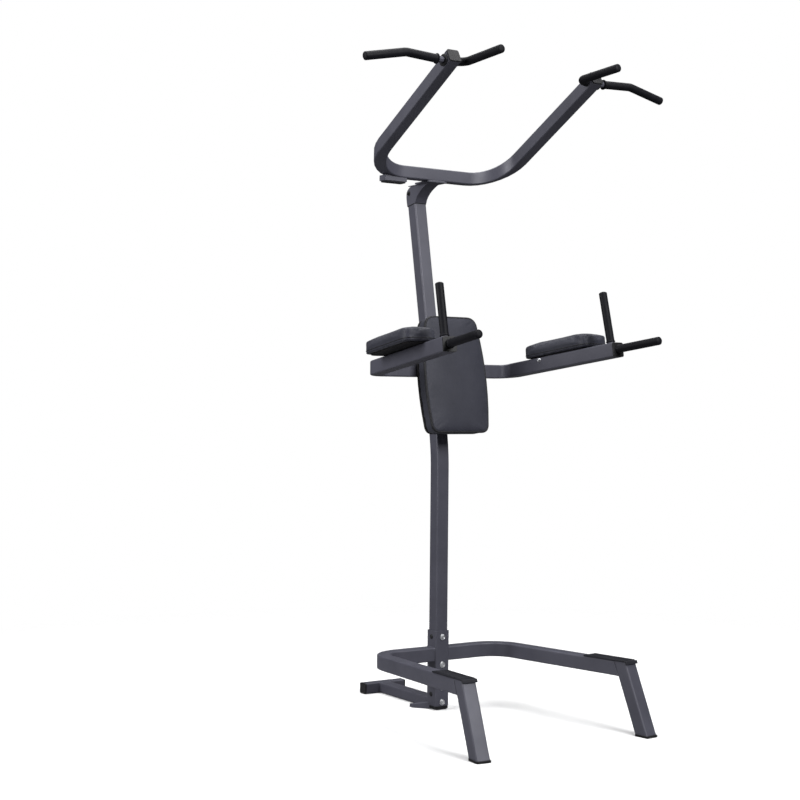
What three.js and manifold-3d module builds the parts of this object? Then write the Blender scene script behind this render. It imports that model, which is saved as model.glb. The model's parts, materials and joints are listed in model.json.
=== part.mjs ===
// Free-standing power tower: a bent steel column on a two-legged base, with a back pad,
// a pair of dip arms that carry forearm pads and grips, and a pull-up frame on top.
// Units are millimetres. +Z is up, the user stands on the -Y side facing +Y, and X = 0 is
// the plane of symmetry.
import * as THREE from 'three';
import { mergeVertices } from 'three/addons/utils/BufferGeometryUtils.js';
import Module from 'manifold-3d';

const wasm = await Module();
wasm.setup();

// ---------------------------------------------------------------- driving dimensions
const GAP = 0.3;                    // clearance kept between touching pieces
const TUBE = 50;                    // square tube of the base, column and dip arms
const TUBE_WALL = 2.5;
const PULLUP_TUBE = 45;             // square tube of the pull-up frame
const CORNER = 5;                   // outside corner radius of the square tubes

const SLEEVE = 58;                  // outside size of the column's socket
const SLEEVE_WALL = 3.5;
const SLEEVE_TOP = 285;
const CAP_THICKNESS = 6;            // plastic caps on tube ends

const COLUMN_FORWARD = -6;          // column axis, measured forward (-Y) of the origin
const COLUMN_BEND_Z = 940;
const COLUMN_LEAN = 10.4;           // backward lean of the upper column, degrees
const COLUMN_TOP_Z = 1843;
const COLUMN_BEND_RADIUS = 800;

const BASE_HALF_WIDTH = 267.5;      // from the plane of symmetry to an arm at its rear
const BASE_AXIS_Z = 200;
const BASE_SPLAY = 5.9;             // outward angle of the base arms, degrees
const BASE_RISE = 1.2;              // upward slope of the base arms, degrees
const BASE_BEND_RADIUS = 105;
const LEG_REACH = 668;              // along an arm, from its rear corner to the leg's front face
const LEG_RAKE = 20.6;              // forward rake of the front legs, degrees
const STEP_PAD = { length: 196, width: 56, thickness: 4, lip: 7 };

const REAR_TUBE = { width: 50, height: 38, end: -358 };
const REAR_FOOT = { halfWidth: 84, depth: 40, height: 40 };
// Two wedges that steady the socket: they sweep back from its sides to a blunt, lower tip.
const SHORT_FOOT = { length: 42, height: 24, tipHeight: 12, root: 20, tip: 18, sweep: 50 };

const DIP = { halfWidth: 294.5, z: 1226.2, forward: 0, length: 562, splay: 6, rise: 7.4, bend: 55 };
const GRIP_RADIUS = 14.5;           // foam or rubber sleeve on a bar
const BAR_RADIUS = 11;              // the steel bar inside it
const POST = { setback: 27, length: 186, lean: 13 };
const FORWARD_GRIP = 190;
const FOREARM_PAD = { length: 316, width: 120, thickness: 52, along: 281, outward: 32, boardInset: 12 };
const PAD_BOARD = 4;                // plywood under a forearm cushion

// The outline bulges: its half width is given at the top, in the middle and at the bottom.
const BACK_PAD = { top: 113, middle: 131, bottom: 122, height: 418, cushion: 50, frontForward: 97, z: 1213 };
const BACK_PAD_CORNER = { top: 42, bottom: 32 };
const BACK_BOARD = 12;

const PULLUP = { halfWidth: 292, z: 1941, forward: -62, length: 624, splay: 0.9, rise: 28.3, bend: 150 };
const OUTER_GRIP = { setback: 24, reach: 150, drop: 32, span: 154 };
const INNER_GRIP = { setback: 22, inset: 34, reach: 205 };
const REST = { x: -176, width: 92, depth: 40, drop: 14, rise: 6 };
const BOLT_HEAD_RADIUS = 11.5;

// ---------------------------------------------------------------- finishes
const finish = (color, roughness, metalness) =>
  new THREE.MeshStandardMaterial({ color, roughness, metalness });
const POWDER_COAT = finish(0x55565f, 0.5, 0.3);
const SOFT_BLACK = finish(0x17181a, 0.75, 0);
const CAP_BLACK = finish(0x1c1d20, 0.55, 0);
const LEATHERETTE = finish(0x3c3e49, 0.6, 0);
const BOARD_BLACK = finish(0x202126, 0.7, 0);
const ZINC = finish(0xd4d6da, 0.3, 0.9);

// ---------------------------------------------------------------- helpers
const radians = THREE.MathUtils.degToRad;
// A point named by its sideways, forward and upward distances.
const at = (x, forward, z) => new THREE.Vector3(x, -forward, z);

const solidOf = (geometry) => {
  const plain = geometry.clone();
  plain.deleteAttribute('normal');
  plain.deleteAttribute('uv');
  const merged = mergeVertices(plain, 1e-3);
  return new wasm.Manifold(new wasm.Mesh({
    numProp: 3,
    vertProperties: new Float32Array(merged.attributes.position.array),
    triVerts: new Uint32Array(merged.index.array),
  }));
};

const geometryOf = (solid) => {
  const mesh = solid.getMesh();
  const geometry = new THREE.BufferGeometry();
  geometry.setAttribute('position', new THREE.BufferAttribute(mesh.vertProperties, 3));
  geometry.setIndex(new THREE.BufferAttribute(mesh.triVerts, 1));
  geometry.computeVertexNormals();
  return geometry;
};

const cut = (geometry, ...tools) => {
  let solid = solidOf(geometry);
  for (const tool of tools) solid = solid.subtract(solidOf(tool));
  return geometryOf(solid);
};

const keepInside = (geometry, tool) => geometryOf(solidOf(geometry).intersect(solidOf(tool)));

const box = (x, forward, z, width, depth, height) =>
  new THREE.BoxGeometry(width, depth, height).translate(x, -forward, z);

// A cylinder between two points.
const rod = (from, to, radius, sides = 16) => {
  const axis = to.clone().sub(from);
  const turn = new THREE.Quaternion().setFromUnitVectors(
    new THREE.Vector3(0, 1, 0), axis.clone().normalize());
  const middle = from.clone().add(to).multiplyScalar(0.5);
  return new THREE.CylinderGeometry(radius, radius, axis.length(), sides)
    .applyQuaternion(turn).translate(middle.x, middle.y, middle.z);
};

// A rectangle with rounded corners, centred on the origin.
const roundedRectangle = (width, height, radius) => {
  const x = width / 2;
  const y = height / 2;
  const outline = new THREE.Shape();
  outline.moveTo(x, -y + radius);
  outline.lineTo(x, y - radius);
  outline.absarc(x - radius, y - radius, radius, 0, Math.PI / 2);
  outline.lineTo(-x + radius, y);
  outline.absarc(-x + radius, y - radius, radius, Math.PI / 2, Math.PI);
  outline.lineTo(-x, -y + radius);
  outline.absarc(-x + radius, -y + radius, radius, Math.PI, Math.PI * 1.5);
  outline.lineTo(x - radius, -y);
  outline.absarc(x - radius, -y + radius, radius, Math.PI * 1.5, Math.PI * 2);
  return outline;
};

// The wall of a square tube, hollow inside.
const tubeSection = (height, width = height, wall = TUBE_WALL) => {
  const section = roundedRectangle(height, width, CORNER);
  const x = height / 2 - wall;
  const y = width / 2 - wall;
  section.holes.push(new THREE.Path([[-x, -y], [x, -y], [x, y], [-x, y]].map(
    (corner) => new THREE.Vector2(...corner))));
  return section;
};

const circleSection = (radius) => new THREE.Shape().absarc(0, 0, radius, 0, Math.PI * 2);

// A route of straight stretches joined by round bends. A section swept along it keeps its
// own x axis as near to `up` as it can, so a tube isn't twisted by its bends.
class BentRoute extends THREE.Curve {
  constructor(corners, radius, up = new THREE.Vector3(0, 0, 1), stepAngle = radians(12)) {
    super();
    this.up = up;
    this.stations = [];
    const last = corners.length - 1;
    const heading = (i) => corners[i + 1].clone().sub(corners[i]).normalize();
    this.stations.push({ point: corners[0], tangent: heading(0) });
    for (let i = 1; i < last; i += 1) {
      this.addBend(corners[i], heading(i - 1), heading(i), radius, stepAngle);
    }
    this.stations.push({ point: corners[last], tangent: heading(last - 1) });
  }

  addBend(corner, before, after, radius, stepAngle) {
    const angle = before.angleTo(after);
    const setback = radius * Math.tan(angle / 2);
    const axis = before.clone().cross(after).normalize();
    const start = corner.clone().addScaledVector(before, -setback);
    const centre = start.clone().addScaledVector(axis.clone().cross(before), radius);
    const steps = Math.max(2, Math.ceil(angle / stepAngle));
    for (let k = 0; k <= steps; k += 1) {
      const turn = angle * k / steps;
      const arm = start.clone().sub(centre).applyAxisAngle(axis, turn);
      this.stations.push({
        point: centre.clone().add(arm),
        tangent: before.clone().applyAxisAngle(axis, turn),
      });
    }
  }

  get steps() {
    return this.stations.length - 1;
  }

  getPoint(t) {
    return this.stations[Math.round(t * this.steps)].point.clone();
  }

  getPointAt(u) {
    return this.getPoint(u);
  }

  computeFrenetFrames() {
    const tangents = this.stations.map((station) => station.tangent.clone());
    const normals = tangents.map((tangent) =>
      this.up.clone().addScaledVector(tangent, -this.up.dot(tangent)).normalize());
    const binormals = tangents.map((tangent, i) => tangent.clone().cross(normals[i]));
    return { tangents, normals, binormals };
  }
}

const sweep = (section, route, curveSegments = 2) =>
  new THREE.ExtrudeGeometry(section, { steps: route.steps, extrudePath: route, curveSegments });

// A cap for a tube end: a pillowed block of the tube's outline, standing on `from` and
// facing along `direction`.
const endCap = (from, direction, up, height, width = height, thickness = CAP_THICKNESS) => {
  const start = from.clone().addScaledVector(direction, GAP);
  const route = new BentRoute([start, start.clone().addScaledVector(direction, thickness)], 0, up);
  return sweep(roundedRectangle(height, width, CORNER + 1), route);
};

const assembly = new THREE.Group();

const add = (name, geometry, material) => {
  const mesh = new THREE.Mesh(geometry, material);
  mesh.name = name;
  assembly.add(mesh);
  return mesh;
};

const sides = [['left', -1], ['right', 1]];

// A bolt seen from the front: a domed head on a washer, and a shank that passes back
// through the tubes. `reach` is how far the shank goes.
const addBolt = (name, seat, outward, reach, headRadius = BOLT_HEAD_RADIUS) => {
  const shank = headRadius * 0.42;
  const profile = [
    new THREE.Vector2(0, -reach),
    new THREE.Vector2(shank, -reach),
    new THREE.Vector2(shank, GAP),
    new THREE.Vector2(headRadius, GAP),
    new THREE.Vector2(headRadius, 2),
    new THREE.Vector2(headRadius * 0.8, 2.4),
    new THREE.Vector2(headRadius * 0.72, 5),
    new THREE.Vector2(headRadius * 0.4, 7),
    new THREE.Vector2(0, 7.6),
  ];
  const geometry = new THREE.LatheGeometry(profile, 14);
  const turn = new THREE.Quaternion().setFromUnitVectors(new THREE.Vector3(0, 1, 0), outward);
  geometry.applyQuaternion(turn).translate(seat.x, seat.y, seat.z);
  add(name, geometry, ZINC);
};

// The hole that such a bolt passes through.
const boltHole = (seat, outward, reach, headRadius = BOLT_HEAD_RADIUS) => rod(
  seat.clone().addScaledVector(outward, -reach - 4),
  seat.clone().addScaledVector(outward, 4), headRadius * 0.42 + GAP, 12);

// ---------------------------------------------------------------- column and socket
const forwards = at(0, 1, 0);
const upwards = at(0, 0, 1);
const sideways = at(1, 0, 0);
const leanSlope = Math.tan(radians(COLUMN_LEAN));
const columnForward = (z) =>
  COLUMN_FORWARD - Math.max(0, z - COLUMN_BEND_Z) * leanSlope;
const upColumn = at(0, -Math.sin(radians(COLUMN_LEAN)), Math.cos(radians(COLUMN_LEAN)));
const outOfColumn = at(0, Math.cos(radians(COLUMN_LEAN)), Math.sin(radians(COLUMN_LEAN)));

const SLEEVE_BOTTOM = 14;
const SLEEVE_BOLTS = [263, 163, 81, 27];
const sleeveFront = COLUMN_FORWARD + SLEEVE / 2;
const boltSeats = SLEEVE_BOLTS.map((z) => at(0, sleeveFront, z));
const BOLT_REACH = SLEEVE - 8;

const buildColumn = () => {
  const route = new BentRoute([
    at(0, COLUMN_FORWARD, SLEEVE_BOTTOM + 4),
    at(0, COLUMN_FORWARD, COLUMN_BEND_Z),
    at(0, columnForward(COLUMN_TOP_Z), COLUMN_TOP_Z),
  ], COLUMN_BEND_RADIUS, sideways, radians(1.8));
  const holes = boltSeats.map((seat) => boltHole(seat, forwards, BOLT_REACH));
  add('column', cut(sweep(tubeSection(TUBE), route), ...holes), POWDER_COAT);
};

const buildSleeve = () => {
  const route = new BentRoute([
    at(0, COLUMN_FORWARD, SLEEVE_BOTTOM), at(0, COLUMN_FORWARD, SLEEVE_TOP)], 0, sideways);
  const holes = boltSeats.map((seat) => boltHole(seat, forwards, BOLT_REACH));
  const socket = sweep(tubeSection(SLEEVE, SLEEVE, SLEEVE_WALL), route);
  add('column_sleeve', cut(socket, ...holes), POWDER_COAT);
  add('sleeve_bottom_cap', endCap(at(0, COLUMN_FORWARD, SLEEVE_BOTTOM - GAP),
    upwards.clone().negate(), sideways, SLEEVE - 1, SLEEVE - 1, 10), CAP_BLACK);
  boltSeats.forEach((seat, i) => addBolt(`sleeve_bolt_${i + 1}`, seat, forwards, BOLT_REACH));
};

// ---------------------------------------------------------------- base
// The frame of one side of the base: its origin is the rear corner, and -Y runs along the arm.
const baseCorner = (side) => at(side * BASE_HALF_WIDTH, COLUMN_FORWARD - 3, BASE_AXIS_Z);
const baseFrame = (side) => {
  const spin = new THREE.Matrix4().makeRotationZ(side * radians(BASE_SPLAY));
  const tilt = new THREE.Matrix4().makeRotationX(-radians(BASE_RISE));
  const corner = baseCorner(side);
  return new THREE.Matrix4().makeTranslation(corner.x, corner.y, corner.z).multiply(spin).multiply(tilt);
};

const armTop = TUBE / 2;
const rakeSlope = Math.tan(radians(LEG_RAKE + BASE_RISE));
const legDepth = TUBE / Math.cos(radians(LEG_RAKE + BASE_RISE));
// Forward distance of the leg's front face at a height above the arm's axis.
const legFront = (height) => LEG_REACH + (armTop - height) * rakeSlope;

// A big block behind or in front of the leg, bounded by the plane of its rear face.
const beyondLeg = () => {
  const reach = 400;
  const outline = new THREE.Shape();
  outline.moveTo(legFront(reach) - legDepth - GAP, reach);
  outline.lineTo(legFront(-reach) - legDepth - GAP, -reach);
  outline.lineTo(LEG_REACH + 2 * reach, -reach);
  outline.lineTo(LEG_REACH + 2 * reach, reach);
  return sideProfile(outline, 3 * TUBE);
};

// A profile drawn in forward (x) and up (y) coordinates, given a width across X.
function sideProfile(outline, width, curveSegments = 6) {
  const geometry = new THREE.ExtrudeGeometry(outline, { depth: width, bevelEnabled: false, curveSegments });
  const toPlace = new THREE.Matrix4().makeBasis(
    at(0, 1, 0), at(0, 0, 1), at(-1, 0, 0));
  return geometry.applyMatrix4(toPlace).translate(width / 2, 0, 0);
}

const buildBaseArm = (name, side) => {
  const frame = baseFrame(side);
  const start = at(side * (SLEEVE / 2 + GAP), COLUMN_FORWARD - 3, BASE_AXIS_Z);
  const end = at(0, LEG_REACH, 0).applyMatrix4(frame);
  const route = new BentRoute([start, baseCorner(side), end], BASE_BEND_RADIUS);
  const tube = cut(sweep(tubeSection(TUBE), route), beyondLeg().applyMatrix4(frame));
  add(`${name}_base_arm`, tube, POWDER_COAT);
};

const FOOT_CAP = 7;
const buildLeg = (name, side) => {
  const frame = baseFrame(side);
  const legAxis = (height) => at(0, legFront(height) - legDepth / 2, height);
  const route = new BentRoute([legAxis(60), legAxis(-260)], 0, sideways);
  const tall = sweep(tubeSection(TUBE), route).applyMatrix4(frame);
  const underTop = box(0, LEG_REACH, armTop - 150, 200, 300, 300).applyMatrix4(frame);
  const overFoot = box(0, LEG_REACH, 500 + FOOT_CAP + GAP, 2000, 2000, 1000);
  const leg = keepInside(keepInside(tall, underTop), overFoot);
  add(`${name}_front_leg`, leg, POWDER_COAT);

  const foot = legAxis(-BASE_AXIS_Z - LEG_REACH * Math.sin(radians(BASE_RISE))).applyMatrix4(frame);
  const cap = sweep(roundedRectangle(TUBE + 4, legDepth + 5, CORNER + 2),
    new BentRoute([at(0, 0, FOOT_CAP), at(0, 0, 0)], 0, sideways));
  cap.rotateZ(side * radians(BASE_SPLAY)).translate(foot.x, foot.y, 0);
  add(`${name}_foot_cap`, cap, CAP_BLACK);
};

const buildStepPad = (name, side) => {
  const { length, width, thickness, lip } = STEP_PAD;
  const front = LEG_REACH + GAP + 3 * rakeSlope;
  const top = armTop + GAP + thickness;
  const outline = new THREE.Shape();
  outline.moveTo(front - length, armTop + GAP);
  outline.lineTo(front, armTop + GAP);
  outline.lineTo(front + lip * rakeSlope, armTop + GAP - lip);
  outline.lineTo(front + lip * rakeSlope + thickness, armTop + GAP - lip);
  outline.lineTo(front + thickness, top - 2);
  outline.lineTo(front + thickness - 2, top);
  outline.lineTo(front - length + 3, top);
  add(`${name}_step_pad`, sideProfile(outline, width).applyMatrix4(baseFrame(side)), SOFT_BLACK);
};

const buildRearStabilizer = () => {
  const start = COLUMN_FORWARD - SLEEVE / 2 - GAP;
  const middle = REAR_TUBE.height / 2 + 1;
  const tube = sweep(tubeSection(REAR_TUBE.height, REAR_TUBE.width),
    new BentRoute([at(0, start, middle), at(0, REAR_TUBE.end, middle)], 0));
  add('rear_stabilizer_tube', tube, POWDER_COAT);

  const footForward = REAR_TUBE.end - GAP - REAR_FOOT.depth / 2;
  const footZ = REAR_FOOT.height / 2;
  const foot = sweep(tubeSection(REAR_FOOT.height, REAR_FOOT.depth), new BentRoute([
    at(-REAR_FOOT.halfWidth, footForward, footZ), at(REAR_FOOT.halfWidth, footForward, footZ)], 0));
  add('rear_cross_foot', foot, POWDER_COAT);
  for (const [name, side] of sides) {
    add(`${name}_rear_foot_cap`, endCap(at(side * REAR_FOOT.halfWidth, footForward, footZ),
      at(side, 0, 0), upwards, REAR_FOOT.height, REAR_FOOT.depth), CAP_BLACK);
  }
};

const buildShortFeet = () => {
  const { length, height, tipHeight, root: rootWidth, tip: tipWidth, sweep: back } = SHORT_FOOT;
  const frontAt = COLUMN_FORWARD - 8;
  for (const [name, side] of sides) {
    const root = side * (SLEEVE / 2 + GAP);
    const tip = root + side * length;
    const outline = new THREE.Shape();
    outline.moveTo(root, frontAt);
    outline.lineTo(tip, frontAt - back);
    outline.lineTo(tip, frontAt - back - tipWidth);
    outline.lineTo(root, frontAt - rootWidth);
    const plate = new THREE.ExtrudeGeometry(outline, { depth: height, bevelEnabled: false });
    const wedge = plate.applyMatrix4(new THREE.Matrix4().makeScale(1, -1, 1));
    flipFaces(wedge);
    const slope = Math.atan2(height - tipHeight, length);
    const lid = box(0, 0, 100, 400, 400, 200).rotateY(side * slope);
    lid.translate(root, 0, height);
    add(`${name}_short_foot`, cut(wedge, lid), POWDER_COAT);
  }
};

// Mirrored geometry has its triangles inside out: this turns them over.
function flipFaces(geometry) {
  const position = geometry.attributes.position;
  for (let i = 0; i < position.count; i += 3) {
    const a = new THREE.Vector3().fromBufferAttribute(position, i + 1);
    const b = new THREE.Vector3().fromBufferAttribute(position, i + 2);
    position.setXYZ(i + 1, b.x, b.y, b.z);
    position.setXYZ(i + 2, a.x, a.y, a.z);
  }
}

// ---------------------------------------------------------------- dip station
const dipAxis = (side) => {
  const splay = radians(DIP.splay);
  const rise = radians(DIP.rise);
  return at(side * Math.sin(splay) * Math.cos(rise), Math.cos(splay) * Math.cos(rise), Math.sin(rise));
};
// The frame of a dip arm: its origin is the rear corner, -Y runs along the arm, and +Z is
// square to its top face.
const dipCorner = (side) => at(side * DIP.halfWidth, DIP.forward, DIP.z);
const dipFrame = (side) => {
  const spin = new THREE.Matrix4().makeRotationZ(side * radians(DIP.splay));
  const tilt = new THREE.Matrix4().makeRotationX(-radians(DIP.rise));
  const corner = dipCorner(side);
  return new THREE.Matrix4().makeTranslation(corner.x, corner.y, corner.z).multiply(spin).multiply(tilt);
};

const FOREARM_BOLT = { headRadius: 8, reach: 12, along: 203, height: 15 };
const forearmBoltSeat = (side) => {
  const frame = dipFrame(side);
  const seat = at(-side * TUBE / 2, FOREARM_BOLT.along, FOREARM_BOLT.height).applyMatrix4(frame);
  const inward = at(-side, 0, 0).applyMatrix4(new THREE.Matrix4().extractRotation(frame));
  return { seat, inward };
};

const buildDipFrame = () => {
  const ends = sides.map(([, side]) =>
    dipCorner(side).addScaledVector(dipAxis(side), DIP.length));
  const route = new BentRoute([ends[0], dipCorner(-1), dipCorner(1), ends[1]], DIP.bend);
  const holes = sides.map(([, side]) => {
    const { seat, inward } = forearmBoltSeat(side);
    return boltHole(seat, inward, FOREARM_BOLT.reach, FOREARM_BOLT.headRadius);
  });
  add('dip_arm_frame', cut(sweep(tubeSection(TUBE), route), ...holes), POWDER_COAT);
  sides.forEach(([name, side], i) => {
    const axis = dipAxis(side);
    const up = upwards.clone().addScaledVector(axis, -axis.z).normalize();
    add(`${name}_dip_arm_cap`, endCap(ends[i], axis, up, TUBE, TUBE, 5), CAP_BLACK);
  });
};

// The saddle that carries the dip frame: a welded block between the column and the crossbar.
const buildDipSaddle = () => {
  const rear = DIP.forward - TUBE / 2 - GAP;
  const front = (z) => columnForward(z) + TUBE / 2 / Math.cos(radians(COLUMN_LEAN)) + GAP;
  const top = DIP.z + 60;
  const bottom = DIP.z - 36;
  const outline = new THREE.Shape();
  outline.moveTo(front(bottom), bottom);
  outline.lineTo(rear, bottom);
  outline.lineTo(rear, DIP.z + 38);
  outline.lineTo(front(top), top);
  add('dip_frame_saddle', sideProfile(outline, 44), POWDER_COAT);
};

// A moulded sleeve with a closed end, pushed over a bar.
const GRIP_END = 6;
const GRIP_START = 4;
const addGrip = (name, outside, bore) => {
  add(`${name}_grip`, cut(sweep(circleSection(GRIP_RADIUS), outside, 5),
    sweep(circleSection(BAR_RADIUS + GAP), bore, 4)), SOFT_BLACK);
};

// A straight grip: a steel bar welded to the arm, and the sleeve over it.
const addStraightGrip = (name, foot, direction, length, up, standoff = GAP) => {
  const along = (distance) => foot.clone().addScaledVector(direction, distance);
  const route = (from, to) => new BentRoute([along(from), along(to)], 0, up);
  add(`${name}_bar`, sweep(circleSection(BAR_RADIUS), route(standoff, length - GRIP_END), 4), POWDER_COAT);
  addGrip(name, route(GRIP_START, length), route(0, length - GRIP_END + GAP));
};

const buildDipGrips = (name, side) => {
  const frame = dipFrame(side);
  const turnOnly = new THREE.Matrix4().extractRotation(frame);
  const lean = radians(POST.lean - DIP.rise);
  const postFoot = at(0, DIP.length - POST.setback, TUBE / 2).applyMatrix4(frame);
  const postUp = at(0, -Math.sin(lean), Math.cos(lean)).applyMatrix4(turnOnly);
  const standoff = GAP + BAR_RADIUS * Math.sin(lean);
  addStraightGrip(`${name}_upright`, postFoot, postUp, POST.length, sideways, standoff);

  const noseFoot = at(0, DIP.length + 5 + GAP, 2).applyMatrix4(frame);
  addStraightGrip(`${name}_forward`, noseFoot, dipAxis(side), FORWARD_GRIP, sideways);
};

const buildForearmPad = (name, side) => {
  const frame = dipFrame(side);
  const { length, width, thickness, along, outward, boardInset } = FOREARM_PAD;
  const board = TUBE / 2 + GAP;
  const cushionBottom = board + PAD_BOARD + GAP;
  const cushionHeight = thickness - PAD_BOARD;
  const place = (geometry) => geometry.translate(side * outward, -along, 0).applyMatrix4(frame);
  const block = (inset, bottom, height) => new THREE.ExtrudeGeometry(
    roundedRectangle(width - inset, length - inset, 26),
    { depth: height, bevelEnabled: false, curveSegments: 5 }).translate(0, 0, bottom);
  add(`${name}_forearm_board`, place(block(2 * boardInset, board, PAD_BOARD)), BOARD_BLACK);
  add(`${name}_forearm_pad`, place(block(0, cushionBottom, cushionHeight)), LEATHERETTE);

  const { seat, inward } = forearmBoltSeat(side);
  addBolt(`${name}_forearm_bolt`, seat, inward, FOREARM_BOLT.reach, FOREARM_BOLT.headRadius);
};

// ---------------------------------------------------------------- back pad
// The pad leans with the column. Its frame has its origin in the middle of its front face,
// +Y into the pad and +Z up along it.
const padFrame = () => new THREE.Matrix4()
  .makeTranslation(0, -BACK_PAD.frontForward, BACK_PAD.z)
  .multiply(new THREE.Matrix4().makeRotationX(-radians(COLUMN_LEAN)));

// Half of the pad's outline is drawn, from the bottom up, and mirrored for the other half.
const padOutline = (inset) => {
  const { top, middle, bottom, height } = BACK_PAD;
  const h = height / 2 - inset;
  const slack = 1;                  // a corner's control point stays this far inside the widest line
  const outline = new THREE.Shape();
  outline.moveTo(0, -h);
  for (const [flip, from, to] of [[1, -1, 1], [-1, 1, -1]]) {
    const low = from < 0 ? bottom - inset : top - inset;
    const high = to > 0 ? top - inset : bottom - inset;
    const start = from < 0 ? BACK_PAD_CORNER.bottom : BACK_PAD_CORNER.top;
    const finish = to > 0 ? BACK_PAD_CORNER.top : BACK_PAD_CORNER.bottom;
    outline.lineTo(flip * (low - start), from * h);
    outline.quadraticCurveTo(flip * (low - slack), from * h, flip * low, from * (h - start));
    outline.quadraticCurveTo(flip * (2 * (middle - inset) - (low + high) / 2), 0, flip * high, to * (h - finish));
    outline.quadraticCurveTo(flip * (high - slack), to * h, flip * (high - finish), to * h);
  }
  outline.lineTo(0, -h);
  return outline;
};

const padBlock = (inset, front, depth) => {
  const plate = new THREE.ExtrudeGeometry(padOutline(inset), { depth, bevelEnabled: false, curveSegments: 7 });
  return plate.rotateX(Math.PI / 2).translate(0, front + depth, 0).applyMatrix4(padFrame());
};

const buildBackPad = () => {
  const { cushion } = BACK_PAD;
  add('back_pad', padBlock(0, 0, cushion), LEATHERETTE);
  add('back_pad_board', padBlock(1, cushion + GAP, BACK_BOARD), BOARD_BLACK);

  // Two spacers hold the board off the column, above and below the dip crossbar.
  const padToAxis = (BACK_PAD.frontForward - columnForward(BACK_PAD.z)) * Math.cos(radians(COLUMN_LEAN));
  const back = cushion + BACK_BOARD + 2 * GAP;
  const depth = padToAxis - TUBE / 2 - GAP - back;
  for (const [name, z] of [['upper', 130], ['lower', -130]]) {
    const spacer = new THREE.BoxGeometry(44, depth, 46).translate(0, back + depth / 2, z);
    add(`${name}_pad_spacer`, spacer.applyMatrix4(padFrame()), POWDER_COAT);
  }
};

// ---------------------------------------------------------------- pull-up frame
const pullupAxis = (side) => {
  const splay = radians(PULLUP.splay);
  const rise = radians(PULLUP.rise);
  return at(side * Math.sin(splay) * Math.cos(rise), Math.cos(splay) * Math.cos(rise), Math.sin(rise));
};
const pullupCorner = (side) => at(side * PULLUP.halfWidth, PULLUP.forward, PULLUP.z);
const pullupTip = (side, setback = 0) =>
  pullupCorner(side).addScaledVector(pullupAxis(side), PULLUP.length - setback);

const pullupRoute = () => new BentRoute([pullupTip(-1), pullupCorner(-1), pullupCorner(1), pullupTip(1)],
  PULLUP.bend, upwards, radians(10));

const buildPullupFrame = () => {
  add('pullup_frame', sweep(tubeSection(PULLUP_TUBE), pullupRoute()), POWDER_COAT);
  for (const [name, side] of sides) {
    const axis = pullupAxis(side);
    const up = upwards.clone().addScaledVector(axis, -axis.z).normalize();
    add(`${name}_pullup_arm_cap`, endCap(pullupTip(side), axis, up, PULLUP_TUBE), CAP_BLACK);
  }
};

// A bent bar that leaves the side of a pull-up arm, with a sleeve along most of it.
const addBentGrip = (name, corners, radius, bareLength) => {
  const stretch = (list, startTrim, endTrim) => {
    const trimmed = list.map((point) => point.clone());
    const last = trimmed.length - 1;
    const head = trimmed[1].clone().sub(trimmed[0]).normalize();
    const tail = trimmed[last].clone().sub(trimmed[last - 1]).normalize();
    trimmed[0].addScaledVector(head, startTrim);
    trimmed[last].addScaledVector(tail, -endTrim);
    return new BentRoute(trimmed, radius);
  };
  const bar = sweep(circleSection(BAR_RADIUS), stretch(corners, 0, GRIP_END), 4);
  add(`${name}_bar`, bar, POWDER_COAT);
  addGrip(name, stretch(corners, bareLength, 0), stretch(corners, -1, GRIP_END - GAP));
};

const buildPullupGrips = (name, side) => {
  const outer = pullupTip(side, OUTER_GRIP.setback);
  const skin = PULLUP_TUBE / 2 + GAP;
  const root = outer.clone().add(at(side * (skin + 0.6), 0, 0));
  const bend = root.clone().add(at(side * OUTER_GRIP.reach, 4, 6));
  const end = bend.clone().add(at(side * OUTER_GRIP.span, -6, -OUTER_GRIP.drop));
  addBentGrip(`${name}_outer_pullup`, [root, bend, end], 70, 26);

  const inner = pullupTip(side, INNER_GRIP.setback);
  const heel = inner.clone().add(at(-side * (skin + 0.6), 0, 0));
  const elbow = heel.clone().add(at(-side * INNER_GRIP.inset, 2, 1));
  const nose = elbow.clone().add(at(0, INNER_GRIP.reach, 8));
  addBentGrip(`${name}_inner_pullup`, [heel, elbow, nose], 30, 2);
};

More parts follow.
